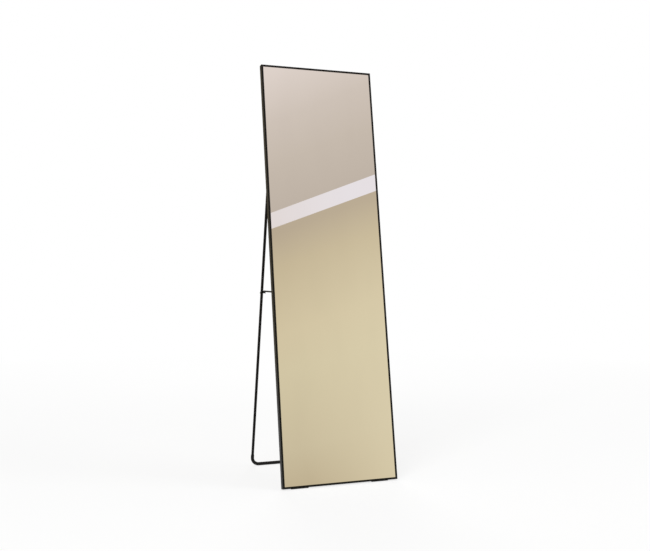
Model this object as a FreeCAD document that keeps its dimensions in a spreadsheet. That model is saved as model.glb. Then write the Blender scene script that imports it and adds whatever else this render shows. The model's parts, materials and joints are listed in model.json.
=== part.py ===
import FreeCAD, Part
import Sketcher
import math
import os

# A full-length floor mirror that leans back on a folding tube stand.
#
# X runs across the mirror, Y runs back through it and Z is up. The origin is on
# the floor at the middle of the object's footprint. Lengths are in millimetres
# and angles in degrees.
#
# The mirror's own pieces are drawn upright, in "face" coordinates: X across, Y
# back from the front face and Z up from the bottom edge. Each one's Placement
# then leans it back. The stand's pieces are drawn about its hinge line with the
# legs straight down, and their Placement swings them out behind.

Vector = FreeCAD.Vector
doc = FreeCAD.newDocument("LeaningMirror")

# ---------------------------------------------------------------- sizes

SIZES = [
    ("frame_width", 400, "outside width of the frame"),
    ("frame_height", 1400, "outside height of the frame, along the glass"),
    ("frame_depth", 18, "front face to back face of the frame"),
    ("lean_angle", 9.2, "how far the mirror leans back from upright"),
    ("rail_wall", 1.2, "wall of the extruded rails"),
    ("lip_width", 6.5, "front lip that shows round the glass"),
    ("box_width", 14, "width of the hollow box behind the glass"),
    ("edge_round", 0.6, "rounding of the rails' outer edges"),
    ("glass_thick", 4, "mirror glass"),
    ("film_thick", 0.2, "safety film on the back of the glass"),
    ("foam_thick", 1, "foam sheet that fills out the pack"),
    ("board_thick", 2.8, "hardboard back"),
    ("glass_gap", 0.8, "play between the glass and the rails at each edge"),
    ("key_arm", 42, "length of each arm of a corner key"),
    ("key_thick", 6, "thickness of a corner key"),
    ("key_play", 0.2, "play at each side of a corner key in its rail"),
    ("grub_dia", 4, "grub screw that locks a corner key"),
    ("grub_length", 5, "length of a grub screw"),
    ("grub_reach", 30, "grub screw from the outside of the corner"),
    ("grub_access", 4.6, "hole in the rail's back for the grub screw"),
    ("socket_depth", 1.2, "depth of the hexagon sockets in the screws"),
    ("opening_angle", 19.9, "angle between the mirror and the open stand"),
    ("hinge_height", 1040, "hinge line above the bottom edge, up the back"),
    ("hinge_offset", 9, "hinge line behind the frame's back face"),
    ("leg_inset", 16, "stand leg's centre line in from the frame's side"),
    ("tube_dia", 9.5, "outside of the stand's tube"),
    ("tube_wall", 1, "wall of the stand's tube"),
    ("tube_top", 4.5, "tube above the hinge line"),
    ("bend_radius", 25, "centre line of the tube's two bends"),
    ("sleeve_wall", 1, "wall of the rubber sleeve on the foot of the stand"),
    ("sleeve_rise", 10, "sleeve above each bend"),
    ("sleeve_round", 0.6, "rounded ends of the rubber sleeve"),
    ("plug_length", 16, "plug inside the tube's open end"),
    ("plug_cap", 1.2, "plug's cap on the end of the tube"),
    ("pin_dia", 4, "hinge pins and the stays' pivots"),
    ("pin_play", 0.05, "radial play of a piece that turns on a pin"),
    ("head_dia", 7, "heads of the hinge pins"),
    ("head_height", 1, "height of the riveted heads"),
    ("head_round", 0.6, "rounding of the riveted heads' rims"),
    ("washer_dia", 10, "hinge washer"),
    ("washer_thick", 0.8, "hinge washer's thickness"),
    ("washer_play", 0.2, "play between a washer and the tube"),
    ("plate_thick", 1.5, "steel of the hinge brackets and hangers"),
    ("plate_round", 2, "rounded corners of those plates"),
    ("ear_radius", 6, "round end of a bracket's ear"),
    ("bracket_foot", 9, "bracket plate below and above the hinge line"),
    ("bracket_height", 38, "bracket plate's top above the hinge line"),
    ("plate_margin", 1, "plates in from the frame's outer edge"),
    ("bracket_screw_low", 17, "lower bracket screw above the hinge line"),
    ("bracket_screw_high", 30, "upper bracket screw above the hinge line"),
    ("screw_dia", 3.5, "screws through the brackets and hangers"),
    ("screw_length", 6, "screw below its head"),
    ("screw_head_dia", 6.5, "screw head"),
    ("screw_head_height", 2, "height of a screw head"),
    ("screw_head_round", 1.4, "dome of a screw head"),
    ("stay_drop", 416.6, "hook stud down the leg from the hinge line"),
    ("stay_dia", 5.5, "rod of a stay"),
    ("stay_gap", 1, "gap between a stay and its leg"),
    ("stay_sink", 4.2, "stay's pivot in front of the frame's back face"),
    ("eye_dia", 8.4, "eye at the front of a stay"),
    ("stud_dia", 4, "hook stud on a leg"),
    ("stud_head_dia", 6.5, "heads of the hook studs and stay pivots"),
    ("hook_play", 0.3, "gap between a hook and its stud"),
    ("side_play", 0.3, "gap beside a stay, at each head"),
    ("hook_tail", 2, "straight end of a hook"),
    ("end_round", 1, "rounded ends of the hooks"),
    ("collar_dia", 7, "collar that holds a stay off the rail"),
    ("tail_dia", 5.6, "closed end of a stay pivot, inside the rail"),
    ("tail_height", 1, "height of that closed end"),
    ("foot_thick", 1.2, "floor pad at the frame's back edge"),
    ("foot_length", 60, "length of a floor pad"),
    ("foot_inset", 60, "floor pad's middle in from the frame's side"),
    ("foot_width", 8, "floor pad from front to back"),
    ("foot_margin", 1.5, "floor pad in from the frame's back face"),
    ("foot_round", 3, "rounded corners of a floor pad"),
    ("hanger_inset", 80, "hanger's middle in from the frame's side"),
    ("hanger_width", 40, "width of a hanger plate"),
    ("hanger_top", 2, "hanger plate below the frame's top edge"),
    ("hanger_height", 30, "height of a hanger plate"),
    ("hanger_hole_dia", 9, "hole for the wall screw"),
    ("hanger_hole_drop", 22, "that hole below the frame's top edge"),
    ("hanger_screw_pitch", 26, "between a hanger's two screws"),
]

sheet = doc.addObject("Spreadsheet::Sheet", "Sizes")
for row, (alias, number, meaning) in enumerate(SIZES, start=1):
    sheet.set(f"A{row}", meaning)
    sheet.set(f"B{row}", str(number))
    sheet.setAlias(f"B{row}", alias)
doc.recompute()


class Size:
    """A size as its number now and as the expression that keeps it up to date."""

    def __init__(self, value, text):
        self.value = value
        self.text = text

    @staticmethod
    def of(thing):
        return thing if isinstance(thing, Size) else Size(float(thing), str(thing))

    def join(self, sign, other, value):
        return Size(value, f"({self.text} {sign} {other.text})")

    def __add__(self, other):
        other = Size.of(other)
        return self.join("+", other, self.value + other.value)

    def __sub__(self, other):
        other = Size.of(other)
        return self.join("-", other, self.value - other.value)

    def __mul__(self, other):
        other = Size.of(other)
        return self.join("*", other, self.value * other.value)

    def __truediv__(self, other):
        other = Size.of(other)
        return self.join("/", other, self.value / other.value)

    def __neg__(self):
        return Size(-self.value, f"(-1 * {self.text})")

    def __radd__(self, other):
        return Size.of(other) + self

    def __rmul__(self, other):
        return Size.of(other) * self


def sine(angle):
    return Size(math.sin(math.radians(angle.value)), f"sin({angle.text} * 1 deg)")


def cosine(angle):
    return Size(math.cos(math.radians(angle.value)), f"cos({angle.text} * 1 deg)")


class Sheet:
    """The driving sizes by name, read from the spreadsheet."""

    def __getattr__(self, alias):
        return Size(float(sheet.get(alias)), f"Sizes.{alias}")


size = Sheet()
worked = doc.addObject("App::VarSet", "Worked")


def work_out(name, amount):
    """Keep an amount that several pieces share as a named value of the document."""
    worked.addProperty("App::PropertyFloat", name)
    worked.setExpression(name, amount.text)
    return Size(amount.value, f"Worked.{name}")


# ------------------------------------------------- what follows from them

half_width = work_out("half_width", size.frame_width / 2)
slot_front = size.rail_wall
film_front = work_out("film_front", slot_front + size.glass_thick)
foam_front = work_out("foam_front", film_front + size.film_thick)
board_front = work_out("board_front", foam_front + size.foam_thick)
slot_back = work_out("slot_back", board_front + size.board_thick)
hollow_front = work_out("hollow_front", slot_back + size.rail_wall)
hollow_back = work_out("hollow_back", size.frame_depth - size.rail_wall)
rail_middle = work_out("rail_middle", size.box_width / 2)

# How the leaning mirror stands: its back bottom edge is foot_thick off the floor.
lift = work_out("lift", size.foot_thick + size.frame_depth * sine(size.lean_angle))
leg_tilt = work_out("leg_tilt", size.opening_angle - size.lean_angle)
hinge_depth = work_out("hinge_depth", size.frame_depth + size.hinge_offset)
hinge_back = work_out("hinge_back", size.hinge_height * sine(size.lean_angle)
                      + hinge_depth * cosine(size.lean_angle))
hinge_up = work_out("hinge_up", lift + size.hinge_height * cosine(size.lean_angle)
                    - hinge_depth * sine(size.lean_angle))

# The legs are as long as the floor asks, so the foot of the stand lies on it.
tube_radius = work_out("tube_radius", size.tube_dia / 2)
foot_radius = work_out("foot_radius", tube_radius + size.sleeve_wall)
leg_length = work_out("leg_length", (hinge_up - foot_radius) / cosine(leg_tilt))
foot_back = work_out("foot_back", hinge_back + leg_length * sine(leg_tilt))
half_depth = work_out("half_depth", (foot_back + foot_radius) / 2)
leg_across = work_out("leg_across", half_width - size.leg_inset)

# The hinge, from the leg outwards: washer, then the bracket's ear.
pin_radius = work_out("pin_radius", size.pin_dia / 2)
pin_bore = work_out("pin_bore", pin_radius + size.pin_play)
washer_start = work_out("washer_start", tube_radius + size.washer_play)
ear_start = work_out("ear_start", washer_start + size.washer_thick)
ear_end = work_out("ear_end", ear_start + size.plate_thick)

# A stay runs level from its pivot in the frame to the stud on the leg.
stay_radius = work_out("stay_radius", size.stay_dia / 2)
stay_outer = work_out("stay_outer", leg_across - tube_radius - size.stay_gap)
stay_inner = work_out("stay_inner", stay_outer - size.stay_dia)
stay_across = work_out("stay_across", stay_outer - stay_radius)
hook_radius = work_out("hook_radius",
                       size.stud_dia / 2 + size.hook_play + stay_radius)
stud_back = work_out("stud_back", hinge_back + size.stay_drop * sine(leg_tilt))
stay_up = work_out("stay_up",
                   hinge_up - size.stay_drop * cosine(leg_tilt) + hook_radius)
stay_depth = work_out("stay_depth", size.frame_depth - size.stay_sink)
stay_height = work_out("stay_height",
                       (stay_up - lift + stay_depth * sine(size.lean_angle))
                       / cosine(size.lean_angle))
stay_front = work_out("stay_front", stay_height * sine(size.lean_angle)
                      + stay_depth * cosine(size.lean_angle))
stay_length = work_out("stay_length", stud_back - stay_front)
rail_inner = work_out("rail_inner", half_width - size.box_width)
foot_across = work_out("foot_across", half_width - size.foot_inset)
hanger_across = work_out("hanger_across", half_width - size.hanger_inset)

# ------------------------------------------------------------ placements


def stand_at(piece, angle, back, up):
    """Turn a piece about X, the top end forwards, and set it down at back and up."""
    piece.Placement = FreeCAD.Placement(
        Vector(0, 0, 0), FreeCAD.Rotation(Vector(1, 0, 0), angle.value))
    piece.setExpression("Placement.Rotation.Angle", angle.text)
    piece.setExpression("Placement.Base.y", (back - half_depth).text)
    piece.setExpression("Placement.Base.z", up.text)


def on_mirror(piece):
    """Lean a piece drawn in face coordinates back with the mirror."""
    piece.Placement = FreeCAD.Placement(
        Vector(0, 0, 0), FreeCAD.Rotation(Vector(-1, 0, 0), size.lean_angle.value))
    piece.setExpression("Placement.Rotation.Angle", size.lean_angle.text)
    piece.setExpression("Placement.Base.y", (-half_depth).text)
    piece.setExpression("Placement.Base.z", lift.text)


def on_stand(piece):
    """Swing a piece drawn about the hinge line out with the stand."""
    stand_at(piece, leg_tilt, hinge_back, hinge_up)


def on_stay(piece):
    """Set a level piece drawn about the stays' pivot line on that line."""
    piece.setExpression("Placement.Base.y", (stay_front - half_depth).text)
    piece.setExpression("Placement.Base.z", stay_up.text)


# --------------------------------------------------- drawing and building

pieces = []
cuts = []


def new_piece(name, place, solids=1):
    """Start a sub-part: a body whose label is its name."""
    body = doc.addObject("PartDesign::Body", name)
    body.Label = name
    if solids > 1:
        body.AllowCompound = True
    place(body)
    pieces.append((body, solids))
    return body


def new_sketch(body, plane, offset=Size(0.0, "0")):
    """Add an empty sketch on one of the body's origin planes, moved along its normal."""
    origin_plane = next(feature for feature in body.Origin.OriginFeatures
                        if feature.Role == plane)
    drawing = body.newObject("Sketcher::SketchObject", f"{body.Name}_sketch")
    drawing.AttachmentSupport = [(origin_plane, "")]
    drawing.MapMode = "FlatFace"
    drawing.setExpression("AttachmentOffset.Base.z", offset.text)
    drawing.recompute()
    return drawing


def fix_point(drawing, curve, end, across, up):
    """Hold one point of a sketch at its two coordinates."""
    for kind, axis, amount in (("DistanceX", -2, across), ("DistanceY", -1, up)):
        amount = Size.of(amount)
        if amount.text in ("0", "0.0"):
            drawing.addConstraint(Sketcher.Constraint("PointOnObject", curve, end, axis))
            continue
        index = drawing.addConstraint(
            Sketcher.Constraint(kind, -1, 1, curve, end, amount.value))
        drawing.setExpression(f"Constraints[{index}]", amount.text)


def draw_outline(drawing, corners):
    """Draw a closed outline of straight lines through the given corners."""
    corners = [(Size.of(across), Size.of(up)) for across, up in corners]
    points = [Vector(across.value, up.value, 0) for across, up in corners]
    first = drawing.GeometryCount
    count = len(points)
    for index in range(count):
        drawing.addGeometry(Part.LineSegment(points[index], points[(index + 1) % count]))
    for index in range(count):
        drawing.addConstraint(Sketcher.Constraint(
            "Coincident", first + index, 2, first + (index + 1) % count, 1))
    for index, (across, up) in enumerate(corners):
        fix_point(drawing, first + index, 1, across, up)


def draw_box(drawing, left, low, right, high):
    draw_outline(drawing, [(left, low), (right, low), (right, high), (left, high)])


def draw_circle(drawing, across, up, radius):
    across = Size.of(across)
    up = Size.of(up)
    curve = drawing.addGeometry(
        Part.Circle(Vector(across.value, up.value, 0), Vector(0, 0, 1), radius.value))
    fix_point(drawing, curve, 3, across, up)
    index = drawing.addConstraint(Sketcher.Constraint("Radius", curve, radius.value))
    drawing.setExpression(f"Constraints[{index}]", radius.text)


def draw_hexagon(drawing, across, up, radius):
    """Draw a hexagon by its corner radius."""
    turns = [math.radians(60 * step) for step in range(6)]
    draw_outline(drawing, [(across + radius * round(math.cos(turn), 6),
                            up + radius * round(math.sin(turn), 6)) for turn in turns])


def draw_path(drawing, moves):
    """Draw an open path. A move is (across, up), or has the bend's middle as well."""
    here = moves[0]
    last = None
    for move in moves[1:]:
        start = Vector(here[0].value, here[1].value, 0)
        finish = Vector(move[0].value, move[1].value, 0)
        if len(move) == 2:
            curve = drawing.addGeometry(Part.LineSegment(start, finish))
            ends = (1, 2)
        else:
            middle = Vector(move[2].value, move[3].value, 0)
            halfway = (start + finish) * 0.5 - middle
            radius = (start - middle).Length
            bulge = middle + halfway * (radius / halfway.Length)
            curve = drawing.addGeometry(Part.Arc(start, bulge, finish))
            begun = drawing.getPoint(curve, 1)
            ends = (1, 2) if (begun - start).Length < radius / 10 else (2, 1)
            index = drawing.addConstraint(
                Sketcher.Constraint("Radius", curve, radius))
            drawing.setExpression(f"Constraints[{index}]", move[4].text)
        if last is None:
            fix_point(drawing, curve, ends[0], here[0], here[1])
        else:
            drawing.addConstraint(
                Sketcher.Constraint("Coincident", last[0], last[1], curve, ends[0]))
        fix_point(drawing, curve, ends[1], move[0], move[1])
        last = (curve, ends[1])
        here = move


def extrude(body, plane, start, length, draw, cut=False):
    """Pad or cut what draw() sketches, from start along the plane's own +axis."""
    start = Size.of(start)
    facing_back = plane == "XZ_Plane"
    drawing = new_sketch(body, plane, -start if facing_back else start)
    draw(drawing)
    feature = body.newObject("PartDesign::Pocket" if cut else "PartDesign::Pad",
                             f"{body.Name}_{'cut' if cut else 'pad'}")
    feature.Profile = drawing
    feature.setExpression("Length", Size.of(length).text)
    feature.Reversed = facing_back != cut
    drawing.Visibility = False
    if cut:
        cuts.append(feature)
    return feature


def drill(body, plane, start, length, draw):
    return extrude(body, plane, start, length, draw, cut=True)


def sweep(body, path, section):
    """Run a section along a path."""
    feature = body.newObject("PartDesign::AdditivePipe", f"{body.Name}_pipe")
    feature.Profile = section
    feature.Spine = (path, [f"Edge{number + 1}" for number in range(path.GeometryCount)])
    return feature


def round_edges(body, feature, radius, chosen):
    """Round the feature's edges that chosen(edge) picks."""
    doc.recompute()
    edges = [f"Edge{number}" for number, edge in enumerate(feature.Shape.Edges, start=1)
             if chosen(edge)]
    rounding = body.newObject("PartDesign::Fillet", f"{body.Name}_round")
    rounding.Base = (feature, edges)
    rounding.setExpression("Radius", radius.text)
    return rounding


def is_thickness_edge(axis, thick):
    """Pick the straight edges that run along one axis and are one thickness long."""
    def chosen(edge):
        return (isinstance(edge.Curve, Part.Line)
                and abs(edge.Length - thick.value) < 0.01
                and abs(edge.Curve.Direction[axis]) > 0.999)
    return chosen


# ------------------------------------------------------------- the frame
# Four rails of one extrusion, mitred at the corners. Seen in section, the lip
# stands in front of the glass and the box closes the slot behind the board.


def section_corners(inwards):
    """The extrusion's outline, where inwards(t) is a distance t in from the outside."""
    return [(inwards(0), Size.of(0)),
            (inwards(size.lip_width), Size.of(0)),
            (inwards(size.lip_width), slot_front),
            (inwards(size.rail_wall), slot_front),
            (inwards(size.rail_wall), slot_back),
            (inwards(size.box_width), slot_back),
            (inwards(size.box_width), size.frame_depth),
            (inwards(0), size.frame_depth)]


def hollow_corners(inwards):
    near = inwards(size.rail_wall)
    far = inwards(size.box_width - size.rail_wall)
    return [(near, hollow_front), (far, hollow_front), (far, hollow_back), (near, hollow_back)]


def from_left(amount):
    return Size.of(amount) - half_width


def from_right(amount):
    return half_width - amount


def from_bottom(amount):
    return Size.of(amount)


def from_top(amount):
    return size.frame_height - amount


SIDES = {"left": from_left, "right": from_right}
ENDS = {"bottom": from_bottom, "top": from_top}
mitre = size.box_width + 1


def is_long_outer_edge(direction, outside):
    """Pick the two edges along a rail's outer side."""
    def chosen(edge):
        ends = [vertex.Point for vertex in edge.Vertexes]
        along = abs((ends[1] - ends[0]).normalize().dot(direction)) > 0.999
        return along and outside(ends[0])
    return chosen


for side, inwards in SIDES.items():
    rail = new_piece(f"{side}_rail", on_mirror)
    bar = extrude(rail, "XY_Plane", 0, size.frame_height, lambda drawing: (
        draw_outline(drawing, section_corners(inwards)),
        draw_outline(drawing, hollow_corners(inwards))))
    round_edges(rail, bar, size.edge_round, is_long_outer_edge(
        Vector(0, 0, 1), lambda point: abs(abs(point.x) - half_width.value) < 0.01))
    for upwards in ENDS.values():
        drill(rail, "XZ_Plane", 0, size.frame_depth, lambda drawing: draw_outline(
            drawing, [(inwards(0), upwards(0)), (inwards(mitre), upwards(mitre)),
                      (inwards(mitre), upwards(0))]))
        drill(rail, "XZ_Plane", hollow_back, size.rail_wall, lambda drawing: draw_circle(
            drawing, inwards(rail_middle), upwards(size.grub_reach), size.grub_access / 2))
    drill(rail, "XZ_Plane", hollow_back, size.rail_wall, lambda drawing: [
        draw_circle(drawing, inwards(rail_middle), size.hinge_height + up, size.screw_dia / 2)
        for up in (size.bracket_screw_low, size.bracket_screw_high)])
    wall_start = -rail_inner - size.rail_wall if side == "left" else rail_inner
    drill(rail, "YZ_Plane", wall_start, size.rail_wall, lambda drawing: draw_circle(
        drawing, stay_depth, stay_height, pin_radius))

for end, upwards in ENDS.items():
    rail = new_piece(f"{end}_rail", on_mirror)
    bar = extrude(rail, "YZ_Plane", -half_width, size.frame_width, lambda drawing: (
        draw_outline(drawing, [(back, up) for up, back in section_corners(upwards)]),
        draw_outline(drawing, [(back, up) for up, back in hollow_corners(upwards)])))
    outside_height = upwards(0).value
    round_edges(rail, bar, size.edge_round, is_long_outer_edge(
        Vector(1, 0, 0), lambda point: abs(point.z - outside_height) < 0.01))
    for inwards in SIDES.values():
        drill(rail, "XZ_Plane", 0, size.frame_depth, lambda drawing: draw_outline(
            drawing, [(inwards(0), upwards(0)), (inwards(mitre), upwards(mitre)),
                      (inwards(0), upwards(mitre))]))
        drill(rail, "XZ_Plane", hollow_back, size.rail_wall, lambda drawing: draw_circle(
            drawing, inwards(size.grub_reach), upwards(rail_middle), size.grub_access / 2))
    if end == "top":
        hanger_screws_across = [sign * hanger_across + half * size.hanger_screw_pitch
                                for sign in (-1, 1) for half in (-0.5, 0.5)]
        drill(rail, "XZ_Plane", hollow_back, size.rail_wall, lambda drawing: [
            draw_circle(drawing, across, upwards(rail_middle), size.screw_dia / 2)
            for across in hanger_screws_across])

# --------------------------------------------------------- the glass pack
# Mirror glass, its film, a foam sheet and the back board fill the slot.

for name, front, thick in (("mirror_glass", slot_front, size.glass_thick),
                           ("safety_film", film_front, size.film_thick),
                           ("foam_sheet", foam_front, size.foam_thick),
                           ("back_board", board_front, size.board_thick)):
    pane = new_piece(name, on_mirror)
    inset = size.rail_wall + size.glass_gap
    extrude(pane, "XZ_Plane", front, thick, lambda drawing: draw_box(
        drawing, from_left(inset), from_bottom(inset), from_right(inset), from_top(inset)))

# ------------------------------------------------------- the corner joints
# An angle key in each corner, locked in both rails by grub screws.

key_back = hollow_back
key_front = key_back - size.key_thick
key_near = size.rail_wall + size.key_play
key_far = size.box_width - size.rail_wall - size.key_play

for end, upwards in ENDS.items():
    for side, inwards in SIDES.items():
        key = new_piece(f"corner_key_{end}_{side}", on_mirror)
        reach = key_near + size.key_arm
        extrude(key, "XZ_Plane", key_front, size.key_thick, lambda drawing: draw_outline(
            drawing, [(inwards(key_near), upwards(key_near)),
                      (inwards(reach), upwards(key_near)),
                      (inwards(reach), upwards(key_far)),
                      (inwards(key_far), upwards(key_far)),
                      (inwards(key_far), upwards(reach)),
                      (inwards(key_near), upwards(reach))]))
        drill(key, "XZ_Plane", key_front, size.key_thick, lambda drawing: (
            draw_circle(drawing, inwards(rail_middle), upwards(size.grub_reach),
                        size.grub_dia / 2),
            draw_circle(drawing, inwards(size.grub_reach), upwards(rail_middle),
                        size.grub_dia / 2)))

grub_places = [place for upwards in ENDS.values() for inwards in SIDES.values()
               for place in ((inwards(rail_middle), upwards(size.grub_reach)),
                             (inwards(size.grub_reach), upwards(rail_middle)))]
grubs = new_piece("corner_grub_screws", on_mirror, solids=len(grub_places))
extrude(grubs, "XZ_Plane", hollow_front, size.grub_length, lambda drawing: [
    draw_circle(drawing, across, up, size.grub_dia / 2) for across, up in grub_places])
drill(grubs, "XZ_Plane", hollow_front + size.grub_length - size.socket_depth,
      size.socket_depth, lambda drawing: [
          draw_hexagon(drawing, across, up, size.grub_dia / 4)
          for across, up in grub_places])

# -------------------------------------------------------- the hinge fittings
# Each bracket is a steel plate on the rail's back with two ears round the leg.


def beside_leg(side, inner, outer):
    """Where a slice from inner to outer, measured out from the leg's middle, starts."""
    middle = -leg_across if side == "left" else leg_across
    return [middle + inner, middle - outer]


for side, inwards in SIDES.items():
    bracket = new_piece(f"{side}_hinge_bracket", on_mirror)
    inboard = size.leg_inset + ear_end
    foot_low = size.hinge_height - size.bracket_foot
    foot_high = size.hinge_height + size.bracket_foot
    plate_top = size.hinge_height + size.bracket_height
    plate = extrude(bracket, "XZ_Plane", size.frame_depth, size.plate_thick,
                    lambda drawing: draw_outline(
                        drawing, [(inwards(size.plate_margin), foot_low),
                                  (inwards(inboard), foot_low),
                                  (inwards(inboard), foot_high),
                                  (inwards(size.box_width), foot_high),
                                  (inwards(size.box_width), plate_top),
                                  (inwards(size.plate_margin), plate_top)]))
    round_edges(bracket, plate, size.plate_round, is_thickness_edge(1, size.plate_thick))
    for start in beside_leg(side, ear_start, ear_end):
        extrude(bracket, "YZ_Plane", start, size.plate_thick, lambda drawing: draw_box(
            drawing, size.frame_depth, size.hinge_height - size.ear_radius,
            hinge_depth, size.hinge_height + size.ear_radius))
        extrude(bracket, "YZ_Plane", start, size.plate_thick, lambda drawing: draw_circle(
            drawing, hinge_depth, size.hinge_height, size.ear_radius))
        drill(bracket, "YZ_Plane", start, size.plate_thick, lambda drawing: draw_circle(
            drawing, hinge_depth, size.hinge_height, pin_radius))
    drill(bracket, "XZ_Plane", size.frame_depth, size.plate_thick, lambda drawing: [
        draw_circle(drawing, inwards(rail_middle), size.hinge_height + up, size.screw_dia / 2)
        for up in (size.bracket_screw_low, size.bracket_screw_high)])

    pin = new_piece(f"{side}_hinge_pin", on_mirror)
    middle = -leg_across if side == "left" else leg_across
    extrude(pin, "YZ_Plane", middle - ear_end, 2 * ear_end, lambda drawing: draw_circle(
        drawing, hinge_depth, size.hinge_height, pin_radius))
    for start in (middle + ear_end, middle - ear_end - size.head_height):
        head = extrude(pin, "YZ_Plane", start, size.head_height,
                       lambda drawing: draw_circle(
                           drawing, hinge_depth, size.hinge_height, size.head_dia / 2))
    heads_reach = (ear_end + size.head_height).value
    round_edges(pin, head, size.head_round, lambda edge: (
        isinstance(edge.Curve, Part.Circle)
        and abs(edge.Curve.Radius - size.head_dia.value / 2) < 0.01
        and abs(abs(edge.Curve.Center.x - middle.value) - heads_reach) < 0.01))

washers = new_piece("hinge_washers", on_mirror, solids=4)
for side in SIDES:
    for start in beside_leg(side, washer_start, ear_start):
        extrude(washers, "YZ_Plane", start, size.washer_thick, lambda drawing: (
            draw_circle(drawing, hinge_depth, size.hinge_height, size.washer_dia / 2),
            draw_circle(drawing, hinge_depth, size.hinge_height, pin_bore)))


def plate_screws(name, places):
    """Button-head screws through a plate into a rail's back wall."""
    screws = new_piece(name, on_mirror, solids=len(places))
    seat = size.frame_depth + size.plate_thick
    extrude(screws, "XZ_Plane", seat - size.screw_length, size.screw_length,
            lambda drawing: [draw_circle(drawing, across, up, size.screw_dia / 2)
                             for across, up in places])
    heads = extrude(screws, "XZ_Plane", seat, size.screw_head_height,
                    lambda drawing: [
                        draw_circle(drawing, across, up, size.screw_head_dia / 2)
                        for across, up in places])
    top = (seat + size.screw_head_height).value
    round_edges(screws, heads, size.screw_head_round, lambda edge: (
        edge.BoundBox.YLength < 0.01 and abs(edge.BoundBox.YMin - top) < 0.01))
    drill(screws, "XZ_Plane", seat + size.screw_head_height - size.socket_depth,
          size.socket_depth,
          lambda drawing: [draw_hexagon(drawing, across, up, size.screw_dia / 3)
                           for across, up in places])


plate_screws("bracket_screws", [
    (inwards(rail_middle), size.hinge_height + up) for inwards in SIDES.values()
    for up in (size.bracket_screw_low, size.bracket_screw_high)])

# ------------------------------------------------------------- the stand
# One tube bent to a U, a rubber sleeve on its foot and a plug in each open end.


def stand_path(drawing, top):
    """The tube's centre line, down one leg, along the floor and up the other."""
    bend = size.bend_radius
    low = -leg_length + bend
    inner = leg_across - bend
    draw_path(drawing, [
        (-leg_across, top),
        (-leg_across, low),
        (-inner, -leg_length, -inner, low, bend),
        (inner, -leg_length),
        (leg_across, low, inner, low, bend),
        (leg_across, top)])


def bent_tube(name, top, outer, inner):
    """A tube along the stand's centre line, cut off at top above the hinge line."""
    tube = new_piece(name, on_stand)
    path = new_sketch(tube, "XZ_Plane")
    stand_path(path, top)
    ring = new_sketch(tube, "XY_Plane", top)
    draw_circle(ring, -leg_across, 0, outer)
    draw_circle(ring, -leg_across, 0, inner)
    sweep(tube, path, ring)
    return tube


tube = bent_tube("stand_tube", size.tube_top, tube_radius, tube_radius - size.tube_wall)
drill(tube, "YZ_Plane", -half_width, size.frame_width, lambda drawing: (
    draw_circle(drawing, 0, 0, pin_bore),
    draw_circle(drawing, 0, -size.stay_drop, size.stud_dia / 2)))

sleeve_top = size.bend_radius + size.sleeve_rise - leg_length
sleeve = bent_tube("anti_slip_sleeve", sleeve_top, foot_radius, tube_radius)
round_edges(sleeve, sleeve.Tip, size.sleeve_round, lambda edge: (
    isinstance(edge.Curve, Part.Circle)
    and abs(edge.Curve.Radius - foot_radius.value) < 0.01
    and abs(edge.Curve.Center.z - sleeve_top.value) < 0.01))

for side in SIDES:
    middle = -leg_across if side == "left" else leg_across
    plug = new_piece(f"{side}_tube_plug", on_stand)
    extrude(plug, "XY_Plane", size.tube_top - size.plug_length, size.plug_length,
            lambda drawing: draw_circle(drawing, middle, 0, tube_radius - size.tube_wall))
    cap = extrude(plug, "XY_Plane", size.tube_top, size.plug_cap,
                  lambda drawing: draw_circle(drawing, middle, 0, tube_radius))
    cap_top = (size.tube_top + size.plug_cap).value
    round_edges(plug, cap, size.plug_cap / 2, lambda edge: (
        abs(edge.BoundBox.ZMin - cap_top) < 0.01 and edge.BoundBox.ZLength < 0.01))
    drill(plug, "YZ_Plane", -half_width, size.frame_width,
          lambda drawing: draw_circle(drawing, 0, 0, pin_bore))

# -------------------------------------------------------------- the stays
# A rod each side. Its eye turns on a pivot in the side rail, and its other end
# hooks down behind a stud on the leg, so the stand can't slide out further.

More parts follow.
